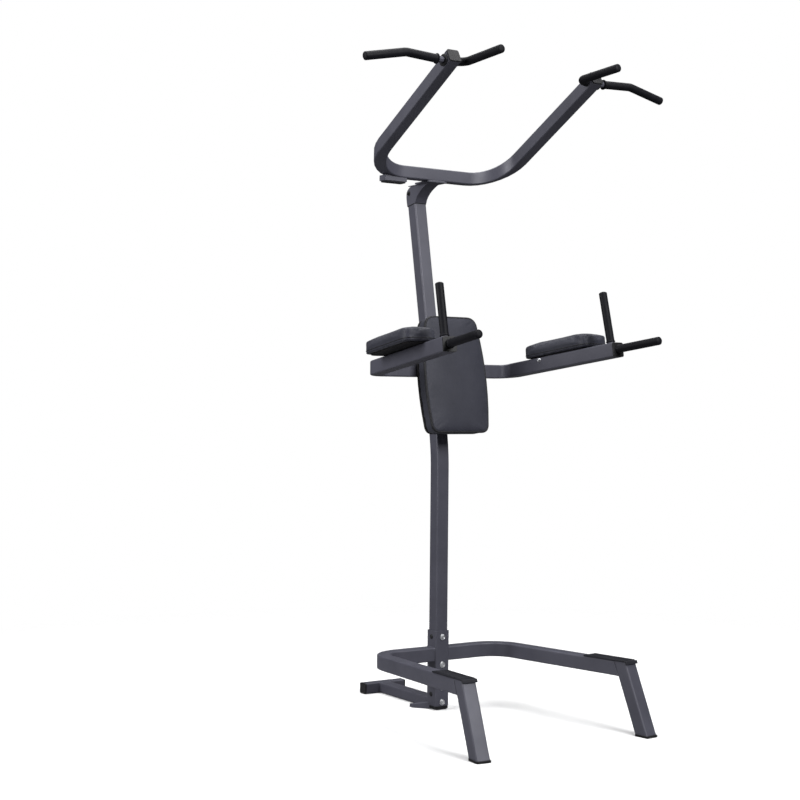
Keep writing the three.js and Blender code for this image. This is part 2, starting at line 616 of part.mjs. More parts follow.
// The neck: a gusseted box that swings forward from the column's top to the pull-up frame.
const PLATE = { width: 84, depth: 92, thickness: 5, setback: 19 };
const NECK = { front: 25, back: 27, bulge: 34 };
const buildNeck = () => {
  const plateTop = PULLUP.z - PULLUP_TUBE / 2 - GAP;
  const roof = plateTop - PLATE.thickness - GAP;
  const columnAt = columnForward(COLUMN_TOP_Z);
  // The box stands on the column's top, which is cut square and so leans with it.
  const floorAt = (offset) => COLUMN_TOP_Z + offset * Math.tan(radians(COLUMN_LEAN)) + GAP;
  const { front, back, bulge } = NECK;
  const outline = new THREE.Shape();
  outline.moveTo(columnAt - back, floorAt(-back));
  outline.lineTo(columnAt + front, floorAt(front));
  outline.quadraticCurveTo(columnAt + bulge, floorAt(front) + 40, PULLUP.forward + 4, roof);
  outline.lineTo(columnAt - 2, roof);
  outline.quadraticCurveTo(columnAt - bulge, roof - 10, columnAt - bulge, roof - 30);
  outline.quadraticCurveTo(columnAt - bulge, floorAt(-back) + 22, columnAt - back, floorAt(-back));
  const pinZ = roof - 26;
  const pinSeat = at(-TUBE / 2, columnAt - 16, pinZ);
  const outwards = at(-1, 0, 0);
  const neck = cut(sideProfile(outline, TUBE), boltHole(pinSeat, outwards, TUBE - 8, 9));
  add('neck_gusset', neck, POWDER_COAT);
  addBolt('neck_bolt', pinSeat, outwards, TUBE - 8, 9);
  const plate = new THREE.ExtrudeGeometry(roundedRectangle(PLATE.width, PLATE.depth, CORNER),
    { depth: PLATE.thickness, bevelEnabled: false, curveSegments: 4 });
  plate.translate(0, -(PULLUP.forward - PLATE.setback), plateTop - PLATE.thickness);
  add('pullup_mounting_plate', plate, POWDER_COAT);

  // The lug under the crossbar fits up against the start of the bend.
  const { x, width, depth, drop, rise } = REST;
  const block = box(x, PULLUP.forward, plateTop + (rise - drop) / 2, width, depth, drop + rise);
  const swept = sweep(roundedRectangle(PULLUP_TUBE + 2 * GAP, PULLUP_TUBE + 2 * GAP, CORNER), pullupRoute());
  add('crossbar_rest', cut(block, swept), POWDER_COAT);
};

// ---------------------------------------------------------------- assembly
buildColumn();
buildSleeve();
buildRearStabilizer();
buildShortFeet();
buildDipFrame();
buildDipSaddle();
buildBackPad();
buildPullupFrame();
buildNeck();
for (const [name, side] of sides) {
  buildBaseArm(name, side);
  buildLeg(name, side);
  buildStepPad(name, side);
  buildDipGrips(name, side);
  buildForearmPad(name, side);
  buildPullupGrips(name, side);
}

// The origin is the middle of the footprint, on the floor.
const bounds = new THREE.Box3().setFromObject(assembly, true);
assembly.position.set(0, -(bounds.min.y + bounds.max.y) / 2, -bounds.min.z);

export default assembly;
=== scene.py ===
# %% [markdown]
# # A free-standing power tower
# A bent steel column stands in a square socket on a two-legged base. It carries a padded
# back rest, a pair of dip arms with forearm pads, and a pull-up frame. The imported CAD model
# is the fixed frame of this scene: every tube, cap and board keeps its exact place and
# size, and this script gives it a finish. Soft and moulded pieces are made here and
# stand in for their plain CAD solids.

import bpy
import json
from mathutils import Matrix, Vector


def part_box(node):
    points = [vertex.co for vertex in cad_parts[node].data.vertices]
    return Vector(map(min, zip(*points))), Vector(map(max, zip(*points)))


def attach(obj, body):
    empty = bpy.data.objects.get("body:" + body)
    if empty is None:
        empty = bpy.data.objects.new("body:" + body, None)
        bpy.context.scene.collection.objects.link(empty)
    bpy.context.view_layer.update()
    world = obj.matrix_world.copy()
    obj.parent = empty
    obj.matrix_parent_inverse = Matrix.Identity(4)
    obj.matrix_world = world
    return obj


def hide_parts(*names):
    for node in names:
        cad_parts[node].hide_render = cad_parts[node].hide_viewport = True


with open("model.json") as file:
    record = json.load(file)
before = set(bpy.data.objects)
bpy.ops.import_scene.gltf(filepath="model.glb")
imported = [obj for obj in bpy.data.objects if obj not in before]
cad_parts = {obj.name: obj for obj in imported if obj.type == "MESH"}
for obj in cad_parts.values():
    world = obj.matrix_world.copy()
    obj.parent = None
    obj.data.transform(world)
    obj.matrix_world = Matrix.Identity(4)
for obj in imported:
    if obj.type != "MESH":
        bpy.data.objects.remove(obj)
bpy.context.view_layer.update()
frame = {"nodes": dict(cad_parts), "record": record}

import json
import math
import bmesh
import bpy
import numpy as np
from mathutils import Matrix, Vector, noise

nodes = frame["nodes"]
SIDES = (("left", -1), ("right", 1))

# %% [markdown]
# ## Camera and light
# The camera stands to the user's left and in front, level with the back pad, with a long
# lens, so that upright tubes stay upright. The floor is a plain pale disc that fades into
# a white surround. Three large soft lamps light the machine: one on the left for the
# outer faces, one high in front for the user's side, and one overhead for the tops. Each
# face of a square tube then gets its own tone. The surround itself gives little light, so
# the black foam and the undersides stay dark.

# %% Camera
CAMERA_PLACE = Vector((-3.1120, -4.3393, 1.1216))
CAMERA_LENS = 68.05
CAMERA_FORWARD = Vector((0.54441, 0.83882, -0.00059)).normalized()
CAMERA_ROLL = math.radians(0.5345)
SENSOR_WIDTH = 36.0
CLIP_END = 200.0

level_right = CAMERA_FORWARD.cross(Vector((0, 0, 1))).normalized()
level_up = level_right.cross(CAMERA_FORWARD)
right = level_right * math.cos(CAMERA_ROLL) + level_up * math.sin(CAMERA_ROLL)
up = right.cross(CAMERA_FORWARD)
camera_data = bpy.data.cameras.new("camera")
camera_data.lens = CAMERA_LENS
camera_data.sensor_width = SENSOR_WIDTH
camera_data.clip_end = CLIP_END
camera = bpy.data.objects.new("camera", camera_data)
camera.matrix_world = Matrix.Translation(CAMERA_PLACE) @ Matrix(
    (right, up, -CAMERA_FORWARD)).transposed().to_4x4()
bpy.context.scene.collection.objects.link(camera)
bpy.context.scene.camera = camera
print("camera looks along", tuple(round(c, 3) for c in CAMERA_FORWARD))


# %% Lamps and surround
def add_lamp(name, place, target, size, power):
    data = bpy.data.lights.new(name, "AREA")
    data.shape = "RECTANGLE"
    data.size, data.size_y = size
    data.energy = power
    lamp = bpy.data.objects.new(name, data)
    lamp.location = place
    lamp.rotation_euler = (Vector(target) - Vector(place)).to_track_quat("-Z", "Y").to_euler()
    bpy.context.scene.collection.objects.link(lamp)


add_lamp("key", (-4.6, 0.9, 2.6), (0, 0, 1.3), (2.4, 3.4), 225)
add_lamp("top", (0.3, 0.4, 5.6), (0, 0, 0.6), (5.0, 5.0), 330)
add_lamp("front", (0.6, -4.6, 3.9), (0, 0, 1.7), (2.4, 2.4), 320)

SURROUND_LIGHT = 0.07
world = bpy.data.worlds.new("surround")
bpy.context.scene.world = world
world.use_nodes = True
links, tree = world.node_tree.links, world.node_tree.nodes
tree.clear()
seen = tree.new("ShaderNodeBackground")
seen.inputs["Color"].default_value = (1, 1, 1, 1)
lighting = tree.new("ShaderNodeBackground")
lighting.inputs["Color"].default_value = (0.93, 0.95, 1, 1)
lighting.inputs["Strength"].default_value = SURROUND_LIGHT
path = tree.new("ShaderNodeLightPath")
mixed = tree.new("ShaderNodeMixShader")
out = tree.new("ShaderNodeOutputWorld")
links.new(path.outputs["Is Camera Ray"], mixed.inputs[0])
links.new(lighting.outputs[0], mixed.inputs[1])
links.new(seen.outputs[0], mixed.inputs[2])
links.new(mixed.outputs[0], out.inputs["Surface"])
bpy.context.scene.view_settings.view_transform = "Standard"

# %% [markdown]
# ## Node helpers
# Every finish is procedural and works in object coordinates, which are metres here. A
# texture scale is then the number of features in a metre, so a grain of one millimetre
# has a scale near a thousand, whatever the piece's size.


# %% Node helpers
class Finish:
    """A material under construction: one Principled shader and the nodes that feed it."""

    def __init__(self, name, roughness, metallic=0.0, specular=0.5):
        self.material = bpy.data.materials.new(name)
        self.material.use_nodes = True
        self.tree = self.material.node_tree
        self.shader = self.tree.nodes["Principled BSDF"]
        self.shader.inputs["Roughness"].default_value = roughness
        self.shader.inputs["Metallic"].default_value = metallic
        self.shader.inputs["Specular IOR Level"].default_value = specular
        self.place = self.tree.nodes.new("ShaderNodeTexCoord").outputs["Object"]

    def node(self, kind, **settings):
        made = self.tree.nodes.new(kind)
        for key, value in settings.items():
            setattr(made, key, value)
        return made

    def noise(self, scale, detail=2.0, roughness=0.5):
        made = self.node("ShaderNodeTexNoise")
        made.inputs["Scale"].default_value = scale
        made.inputs["Detail"].default_value = detail
        made.inputs["Roughness"].default_value = roughness
        self.tree.links.new(self.place, made.inputs["Vector"])
        return made.outputs["Fac"]

    def cells(self, scale, feature="DISTANCE_TO_EDGE"):
        made = self.node("ShaderNodeTexVoronoi", feature=feature)
        made.inputs["Scale"].default_value = scale
        self.tree.links.new(self.place, made.inputs["Vector"])
        return made.outputs["Distance"]

    def spread(self, value, low, high, to_low=0.0, to_high=1.0):
        made = self.node("ShaderNodeMapRange")
        for socket, number in zip(("From Min", "From Max", "To Min", "To Max"),
                                  (low, high, to_low, to_high)):
            made.inputs[socket].default_value = number
        self.tree.links.new(value, made.inputs["Value"])
        return made.outputs["Result"]

    def combine(self, operation, a, b):
        made = self.node("ShaderNodeMath", operation=operation)
        for socket, value in zip(made.inputs, (a, b)):
            if isinstance(value, (int, float)):
                socket.default_value = value
            else:
                self.tree.links.new(value, socket)
        return made.outputs[0]

    def blend(self, factor, low, high):
        made = self.node("ShaderNodeMix", data_type="RGBA")
        for index, value in ((6, low), (7, high)):
            if isinstance(value, tuple):
                made.inputs[index].default_value = (*value, 1)
            else:
                self.tree.links.new(value, made.inputs[index])
        self.tree.links.new(factor, made.inputs["Factor"])
        return made.outputs[2]

    def edges(self, radius):
        """1 along convex edges and 0 on flat faces, from how far a rounded normal leans."""
        rounded = self.node("ShaderNodeBevel", samples=4)
        rounded.inputs["Radius"].default_value = radius
        plain = self.node("ShaderNodeNewGeometry").outputs["Normal"]
        dot = self.node("ShaderNodeVectorMath", operation="DOT_PRODUCT")
        self.tree.links.new(rounded.outputs[0], dot.inputs[0])
        self.tree.links.new(plain, dot.inputs[1])
        return self.spread(dot.outputs["Value"], 0.995, 0.88)

    def feed(self, socket, value):
        self.tree.links.new(value, self.shader.inputs[socket])

    def bump(self, height, distance, strength=1.0, under=None):
        made = self.node("ShaderNodeBump")
        made.inputs["Strength"].default_value = strength
        made.inputs["Distance"].default_value = distance
        self.tree.links.new(height, made.inputs["Height"])
        if under is not None:
            self.tree.links.new(under, made.inputs["Normal"])
        return made.outputs["Normal"]


print("node helpers ready")

# %% [markdown]
# ## Powder coat
# All the steel is sprayed with a charcoal powder coat with a blue cast. Baked powder has
# an orange-peel skin: soft dimples of two or three millimetres with a much finer grit on
# top. Its tone drifts a little along a tube, and handling polishes the edges, where the
# coat is thinner and paler.

# %% Powder coat
COAT_DARK = (0.052, 0.052, 0.069)
COAT_LIGHT = (0.074, 0.074, 0.097)
COAT_WORN = (0.145, 0.146, 0.166)
PEEL_SCALE, GRIT_SCALE = 340, 1900
WORN_EDGE = 0.0016
coat = Finish("powder_coat_charcoal", 0.45, metallic=0.15, specular=0.5)
drift = coat.noise(7, 3)
speckle = coat.noise(620, 2)
tone = coat.combine("ADD", coat.combine("MULTIPLY", drift, 0.65),
                    coat.combine("MULTIPLY", speckle, 0.35))
base_tone = coat.blend(coat.spread(tone, 0.32, 0.68), COAT_DARK, COAT_LIGHT)
wear = coat.combine("MULTIPLY", coat.edges(WORN_EDGE), coat.spread(coat.noise(38, 4), 0.40, 0.70))
coat.feed("Base Color", coat.blend(wear, base_tone, COAT_WORN))
coat.feed("Roughness", coat.spread(coat.combine("SUBTRACT", coat.noise(24, 3), wear), -0.4, 0.8, 0.30, 0.52))
peel = coat.bump(coat.noise(PEEL_SCALE, 1), 0.00022, 0.55)
coat.feed("Normal", coat.bump(coat.noise(GRIT_SCALE, 2), 0.00006, 0.5, peel))
print("powder coat from", COAT_DARK, "to", COAT_LIGHT)

# %% [markdown]
# ## Leatherette, rubber, plastic, board and zinc
# The pads wear a vinyl leatherette: a pebbled grain of one-millimetre cells with fine
# creases between them, matt in the creases and faintly glossy on the pebbles. The grips
# are foam rubber, dull and pitted. Tube caps are moulded plastic with a spark-eroded
# texture. The boards under the pads are plywood with a black stain. Fasteners are bright
# zinc with a light brushed haze.

# %% Leatherette
LEATHER_LOW = (0.016, 0.017, 0.026)
LEATHER_HIGH = (0.037, 0.038, 0.053)
GRAIN_SCALE, CREASE_SCALE = 820, 300


def make_leatherette(name, low, high, roughness):
    skin = Finish(name, roughness, specular=0.26)
    grain = skin.cells(GRAIN_SCALE)
    crease = skin.cells(CREASE_SCALE)
    pebble = skin.combine("ADD", skin.spread(grain, 0.0, 0.35), skin.combine(
        "MULTIPLY", skin.spread(crease, 0.0, 0.12), 0.6))
    cloud = skin.combine("ADD", skin.combine("MULTIPLY", skin.noise(11, 3), 0.55), skin.combine(
        "MULTIPLY", pebble, 0.28))
    skin.feed("Base Color", skin.blend(skin.spread(cloud, 0.2, 0.85), low, high))
    skin.feed("Roughness", skin.spread(pebble, 0.0, 1.6, roughness + 0.16, roughness - 0.06))
    soft = skin.bump(skin.noise(46, 3), 0.0012, 0.35)
    skin.feed("Normal", skin.bump(pebble, 0.00016, 0.6, soft))
    skin.shader.inputs["Sheen Weight"].default_value = 0.05
    skin.shader.inputs["Sheen Roughness"].default_value = 0.5
    return skin.material


leatherette = make_leatherette("leatherette_slate", LEATHER_LOW, LEATHER_HIGH, 0.50)
# The vinyl for the piping and stitches is near-black, far darker than the face vinyl: this dark is painted
# shade, standing in for the shade along each pad's rounded rim.
seam_vinyl_painted_shade = make_leatherette("seam_vinyl_painted_shade", (0.004, 0.004, 0.006), (0.010, 0.010, 0.013), 0.45)
print("leatherette and piping vinyl ready")


# %% Rubber, plastic, board and zinc
def make_rubber(name, low, high, roughness, pit_scale):
    rubber = Finish(name, roughness, specular=0.12)
    pits = rubber.spread(rubber.cells(pit_scale, "F1"), 0.0, 0.6)
    patch = rubber.noise(30, 3)
    rubber.feed("Base Color", rubber.blend(rubber.combine(
        "MULTIPLY", patch, rubber.spread(pits, 0, 1, 0.7, 1.3)), low, high))
    rubber.feed("Roughness", rubber.spread(patch, 0.3, 0.7, roughness - 0.08, roughness + 0.08))
    rubber.feed("Normal", rubber.bump(pits, 0.00018, 0.5))
    return rubber.material


grip_rubber = make_rubber("grip_foam_rubber", (0.002, 0.002, 0.003), (0.007, 0.007, 0.010), 0.58, 1100)
tread_rubber = make_rubber("tread_rubber", (0.010, 0.010, 0.013), (0.026, 0.026, 0.032), 0.62, 700)

plastic = Finish("cap_plastic_black", 0.5, specular=0.3)
texture = plastic.noise(1500, 3, 0.6)
plastic.feed("Base Color", plastic.blend(plastic.spread(plastic.combine(
    "ADD", plastic.combine("MULTIPLY", plastic.noise(60, 2), 0.6), plastic.combine(
        "MULTIPLY", plastic.edges(0.0012), 0.5)), 0.2, 0.9), (0.005, 0.005, 0.006), (0.020, 0.020, 0.023)))
plastic.feed("Roughness", plastic.spread(texture, 0.3, 0.7, 0.42, 0.60))
plastic.feed("Normal", plastic.bump(texture, 0.00008, 0.6))

board = Finish("board_black_stain", 0.7, specular=0.15)
stretched = board.node("ShaderNodeMapping")
stretched.inputs["Scale"].default_value = (260, 260, 22)
board.tree.links.new(board.place, stretched.inputs["Vector"])
fibres = board.node("ShaderNodeTexNoise")
fibres.inputs["Scale"].default_value = 1.0
fibres.inputs["Detail"].default_value = 4.0
board.tree.links.new(stretched.outputs[0], fibres.inputs["Vector"])
board.feed("Base Color", board.blend(board.spread(fibres.outputs["Fac"], 0.35, 0.68),
                                     (0.004, 0.004, 0.005), (0.013, 0.012, 0.012)))
board.feed("Roughness", board.spread(fibres.outputs["Fac"], 0.3, 0.7, 0.55, 0.8))
board.feed("Normal", board.bump(fibres.outputs["Fac"], 0.0002, 0.5))

zinc = Finish("bright_zinc", 0.3, metallic=1.0)
haze = zinc.noise(420, 3)
zinc.feed("Base Color", zinc.blend(zinc.spread(zinc.noise(90, 3), 0.3, 0.7),
                                   (0.66, 0.67, 0.69), (0.86, 0.87, 0.88)))
zinc.feed("Roughness", zinc.spread(haze, 0.3, 0.7, 0.20, 0.42))
zinc.feed("Normal", zinc.bump(haze, 0.00004, 0.5))
print("rubber, plastic, board and zinc ready")

# %% [markdown]
# ## Finishes on the CAD pieces
# The CAD tubes are already hollow and round-cornered, so they stay. A weld modifier joins
# their facets, a small bevel breaks the cut edges as a deburring tool would, and weighted
# normals keep the flats flat while the corners turn smoothly.

# %% Dress the CAD nodes
BY_SLOT = {"powder_coat": coat.material, "grip_rubber": grip_rubber, "cap_plastic": plastic.material,
           "leatherette": leatherette, "pad_board": board.material, "zinc_plate": zinc.material}
SAME_POINT = 0.00002
MOULDED_EDGE, STEEL_EDGE = 0.0014, 0.0007
slot_of = {row["node"]: row["material_slot"] for row in frame["record"]["subparts"]}


def soften(piece, width, sharp=38):
    """Breaks every edge sharper than `sharp` degrees by a small bevel."""
    weld = piece.modifiers.new("weld", "WELD")
    weld.merge_threshold = SAME_POINT
    bevel = piece.modifiers.new("deburr", "BEVEL")
    bevel.width = width
    bevel.segments = 2
    bevel.limit_method = "ANGLE"
    bevel.angle_limit = math.radians(sharp)
    bevel.harden_normals = False
    weighted = piece.modifiers.new("weighted", "WEIGHTED_NORMAL")
    weighted.keep_sharp = True
    weighted.weight = 90


for name, node in nodes.items():
    slot = slot_of.get(name, "powder_coat")
    node.data.materials.clear()
    node.data.materials.append(BY_SLOT[slot])
    node.data.shade_smooth()
    soften(node, MOULDED_EDGE if slot == "cap_plastic" else STEEL_EDGE)
for name in ("left_step_pad", "right_step_pad"):
    nodes[name].data.materials[0] = tread_rubber
print({slot: sum(1 for n in nodes if slot_of.get(n) == slot) for slot in BY_SLOT})

# %% [markdown]
# ## Places taken from the CAD
# The dip arms splay outward and rise, the base arms splay, and the back pad leans with the
# column. Each gets a local frame here. A piece that belongs to a tilted node is measured
# and built in that frame, then turned into place, so it fits its board or tube exactly.


# %% Local frames
def tilted(origin, spin, tilt):
    """A frame turned by `spin` degrees about Z, then tilted by `tilt` degrees about its X."""
    return (Matrix.Translation(origin) @ Matrix.Rotation(math.radians(spin), 4, "Z")
            @ Matrix.Rotation(math.radians(tilt), 4, "X"))


def corners_of(node):
    return np.array([vertex.co for vertex in nodes[node].data.vertices])


def local_box(node, turn):
    """The node's box in a turned frame whose origin is the world's: centre and half sizes."""
    points = corners_of(node) @ np.array(turn.to_3x3())
    low, high = points.min(0), points.max(0)
    return Vector((low + high) / 2), Vector((high - low) / 2)


def axis_of(node):
    """The two end centres of a straight round bar, from its vertices."""
    points = corners_of(node)
    middle = (points.min(0) + points.max(0)) / 2
    direction = np.linalg.svd(points - points.mean(0))[2][0]
    reach = (points - middle) @ direction
    ends = middle + direction * reach.min(), middle + direction * reach.max()
    return Vector(ends[0]), Vector(ends[1])


DIP_SPLAY, DIP_RISE = 6.0, 7.4
BASE_SPLAY, BASE_RISE = 5.9, 1.2
COLUMN_LEAN = 10.4
PULLUP_SPLAY, PULLUP_RISE = 0.9, 28.3
TUBE_HALF = 0.025


def arm_turn(side):
    """How a dip arm is turned: splayed outward, then tipped up towards its end."""
    return tilted(Vector(), side * DIP_SPLAY, -DIP_RISE)


socket_low, socket_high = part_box("column_sleeve")
socket = (socket_low + socket_high) / 2
SOCKET_HALF = (socket_high.x - socket_low.x) / 2
print("socket centre", tuple(round(c, 4) for c in socket))

# %% [markdown]
# ## Building helpers
# A sweep follows a route of points with a round section whose radius may change along
# the way, which covers grips, piping, weld beads and stitches. A lathe turns a profile
# about an axis, for bolts, washers and plugs. Both are stacks of rings joined by quads.


# %% Building helpers
def new_piece(name, bm, material, smooth=True):
    bmesh.ops.recalc_face_normals(bm, faces=bm.faces)
    mesh = bpy.data.meshes.new(name)
    bm.to_mesh(mesh)
    bm.free()
    piece = bpy.data.objects.new(name, mesh)
    bpy.context.scene.collection.objects.link(piece)
    mesh.materials.append(material)
    if smooth:
        mesh.shade_smooth()
    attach(piece, "root")
    return piece


def join_rings(bm, rings):
    """Quads between each ring of vertices and the next, and a face over both ends."""
    for one, two in zip(rings, rings[1:]):
        for k in range(len(one)):
            ahead = (k + 1) % len(one)
            bm.faces.new((one[k], one[ahead], two[ahead], two[k]))
    bm.faces.new(rings[0])
    bm.faces.new(rings[-1])


def frames_along(points, closed):
    """A pair of side directions for every point, carried along without twist."""
    count = len(points)
    ahead = [(points[(i + 1) % count] if closed or i < count - 1 else points[i])
             - (points[i - 1] if closed or i > 0 else points[i]) for i in range(count)]
    ahead = [step.normalized() for step in ahead]
    side = ahead[0].orthogonal().normalized()
    pairs = []
    for step in ahead:
        side = (side - step * side.dot(step)).normalized()
        pairs.append((side.copy(), step.cross(side)))
    return pairs


def sweep_into(bm, points, radii, sides=16, closed=False):
    """Adds a round tube along `points` to `bm`; an open one is closed at both ends."""
    rings = []
    for point, radius, (a, b) in zip(points, radii, frames_along(points, closed)):
        turns = [2 * math.pi * k / sides for k in range(sides)]
        rings.append([bm.verts.new(point + (a * math.cos(t) + b * math.sin(t)) * radius) for t in turns])
    for i in range(len(rings) if closed else len(rings) - 1):
        one, two = rings[i], rings[(i + 1) % len(rings)]
        shift = 0
        if closed and i == len(rings) - 1:
            shift = min(range(sides), key=lambda s: (two[s].co - one[0].co).length)
        for k in range(sides):
            bm.faces.new((one[k], one[(k + 1) % sides],
                          two[(k + 1 + shift) % sides], two[(k + shift) % sides]))
    if not closed:
        bm.faces.new(rings[0])
        bm.faces.new(rings[-1])


def lathe_into(bm, profile, seat, outward, sides=32):
    """Turns (radius, height) pairs about the line through `seat` along `outward`."""
    turn = Vector((0, 0, 1)).rotation_difference(outward)
    rings = []
    for radius, height in profile:
        ring = []
        for k in range(sides):
            angle = 2 * math.pi * k / sides
            spot = Vector((math.cos(angle) * radius, math.sin(angle) * radius, height))
            ring.append(bm.verts.new(seat + turn @ spot))
        rings.append(ring)
    join_rings(bm, rings)


def even(path, spacing):
    """Evenly spaced points round a closed outline."""
    path = np.array(path + path[:1])
    lengths = np.concatenate([[0], np.cumsum(np.linalg.norm(np.diff(path, axis=0), axis=1))])
    wanted = np.linspace(0, lengths[-1], max(8, round(lengths[-1] / spacing)), endpoint=False)
    return [(np.interp(w, lengths, path[:, 0]), np.interp(w, lengths, path[:, 1])) for w in wanted]


def rounded_loop(half_u, half_v, radius, spacing):
    """Evenly spaced points round a rounded rectangle."""
    path = []
    steps = 12
    for cu, cv, start in ((1, 1, 0), (-1, 1, 90), (-1, -1, 180), (1, -1, 270)):
        for k in range(steps + 1):
            angle = math.radians(start + 90 * k / steps)
            path.append(((half_u - radius) * cu + radius * math.cos(angle),
                         (half_v - radius) * cv + radius * math.sin(angle)))
    return even(path, spacing)


print("building helpers ready")

# %% [markdown]
# ## Cushions
# Each pad is a block of foam on a plywood board, pulled tight under vinyl. The face
# panel is sewn to a side band with a bead of piping between them, and the band is stapled
# under the board. The foam pushes the face into a shallow crown and rounds its rim, and
# the seam holds the outline. The cloth simulation does just that: air pressure swells a
# slightly smaller block, while the seam line and the side on the board are pinned.


# %% Pad space
def pushed(outline, distance):
    """The outline moved outward by a distance, or inward by a negative one."""
    points = np.array(outline)
    ahead = np.roll(points, -1, 0) - np.roll(points, 1, 0)
    normal = np.column_stack([ahead[:, 1], -ahead[:, 0]])
    normal /= np.linalg.norm(normal, axis=1, keepdims=True)
    return [tuple(point) for point in points + normal * distance]


class PadSpace:
    """A pad's own axes: u and v across its face, depth along its thickness, 0 in the middle."""

    def __init__(self, node, turn, depth_axis, facing):
        self.turn, self.depth_axis, self.facing = turn, depth_axis, facing
        self.centre, self.half = local_box(node, turn)
        self.across = [axis for axis in (0, 1, 2) if axis != depth_axis]
        self.deep = self.half[depth_axis]
        local = corners_of(node) @ np.array(turn.to_3x3()) - np.array(self.centre)
        front = local[local[:, depth_axis] * facing > self.deep - 0.001][:, self.across]
        order = np.argsort(np.arctan2(front[:, 1] / np.ptp(front[:, 1]), front[:, 0] / np.ptp(front[:, 0])))
        corners = []
        for u, v in front[order]:
            if not corners or math.dist(corners[-1], (u, v)) > 1e-4:
                corners.append((float(u), float(v)))
        self.outline = corners

    def loop(self, spacing, outward=0.0):
        return pushed(even(self.outline, spacing), outward)

    def spot(self, u, v, depth):
        point = Vector(self.centre)
        point[self.across[0]] += u
        point[self.across[1]] += v
        point[self.depth_axis] += depth * self.facing
        return self.turn @ point

    def measure(self, points):
        """Signed depth and distance from the outline of many points."""
        local = np.array(points) @ np.array(self.turn.to_3x3()) - np.array(self.centre)
        rim = np.array(self.loop(0.004))
        flat = local[:, self.across]
        gap = np.array([np.linalg.norm(rim - point, axis=1).min() for point in flat])
        return local[:, self.depth_axis] * self.facing, gap


print("pad space ready")

# %% [markdown]
# ### The block before it swells
# The pad swells, so it starts from a slightly smaller shape: its face lies a little below
# full height and its rim is already rounded.

# %% Flat cushion
RIM = 0.007
BELOW_FACE = 0.0025
OUTLINE_STEP = 0.006


def flat_cushion(space):
    """A closed block with the pad's outline, a rounded rim and a face below full height."""
    bm = bmesh.new()
    top = space.deep - BELOW_FACE
    rings = []
    for depth, inset in ((-space.deep, 0.0), (0.0, 0.0), (top - RIM, 0.0),
                         (top - RIM * 0.3, RIM * 0.3), (top, RIM)):
        rings.append([bm.verts.new(space.spot(u, v, depth)) for u, v in space.loop(OUTLINE_STEP, -inset)])
    join_rings(bm, rings)
    return bm


print("rim radius", RIM, "m")

# %% [markdown]
# ### Swelling by cloth simulation
# The block is remeshed into even faces, and air pressure pushes them outward without
# gravity. A cap on how far a point may move keeps the pad inside its CAD solid. The result
# is kept as a plain mesh, so no simulation is left on the piece.

# %% Swelling
CROWN_CAP = 0.009
PRESSURE = 4.0
VOXEL = 0.005
LAST_FRAME = 20


def apply_modifiers(piece):
    evaluated = piece.evaluated_get(bpy.context.evaluated_depsgraph_get())
    baked = bpy.data.meshes.new_from_object(evaluated)
    materials = list(piece.data.materials)
    piece.modifiers.clear()
    piece.data = baked
    baked.materials.clear()
    for material in materials:
        baked.materials.append(material)
    baked.shade_smooth()


def swell(piece, pinned):
    """Remeshes the block, lets pressure swell it and keeps the result."""
    scene = bpy.context.scene
    remesh = piece.modifiers.new("remesh", "REMESH")
    remesh.mode = "VOXEL"
    remesh.voxel_size = VOXEL
    apply_modifiers(piece)
    group = piece.vertex_groups.new(name="pinned")
    held = pinned([v.co for v in piece.data.vertices])
    group.add(held, 1.0, "REPLACE")
    before = np.array([v.co for v in piece.data.vertices])
    cloth = piece.modifiers.new("cloth", "CLOTH")
    settings = cloth.settings
    settings.quality = 5
    settings.mass = 0.3
    settings.tension_stiffness = settings.compression_stiffness = 18
    settings.shear_stiffness = 8
    settings.bending_stiffness = 0.6
    settings.use_pressure = True
    settings.uniform_pressure_force = PRESSURE
    settings.effector_weights.gravity = 0
    settings.vertex_group_mass = "pinned"
    cloth.collision_settings.use_collision = False
    cloth.point_cache.frame_start, cloth.point_cache.frame_end = 1, LAST_FRAME
    for number in range(1, LAST_FRAME + 1):
        scene.frame_set(number)
    apply_modifiers(piece)
    scene.frame_set(1)
    after = np.array([v.co for v in piece.data.vertices])
    moved = after - before
    lengths = np.linalg.norm(moved, axis=1, keepdims=True)
    moved *= np.minimum(1, CROWN_CAP / np.maximum(lengths, 1e-9))
    piece.data.vertices.foreach_set("co", (before + moved).ravel())
    piece.data.update()
    return float(np.linalg.norm(moved, axis=1).max())


print("swelling at most", CROWN_CAP, "m")

# %% [markdown]
# ### Cushion, piping and stitches
# The seam's bead and the row of stitches below it are too fine for the remesh, so they are
# modelled after it. The back pad's seam runs near its face, and a forearm pad's near its
# board.


# %% Make the three cushions
SEAM_REACH, BOARD_REACH, OUTLINE_REACH = 0.0045, 0.004, 0.006
STITCH_STEP, STITCH_RADIUS, STITCH_DROP = 0.0026, 0.00045, 0.0065


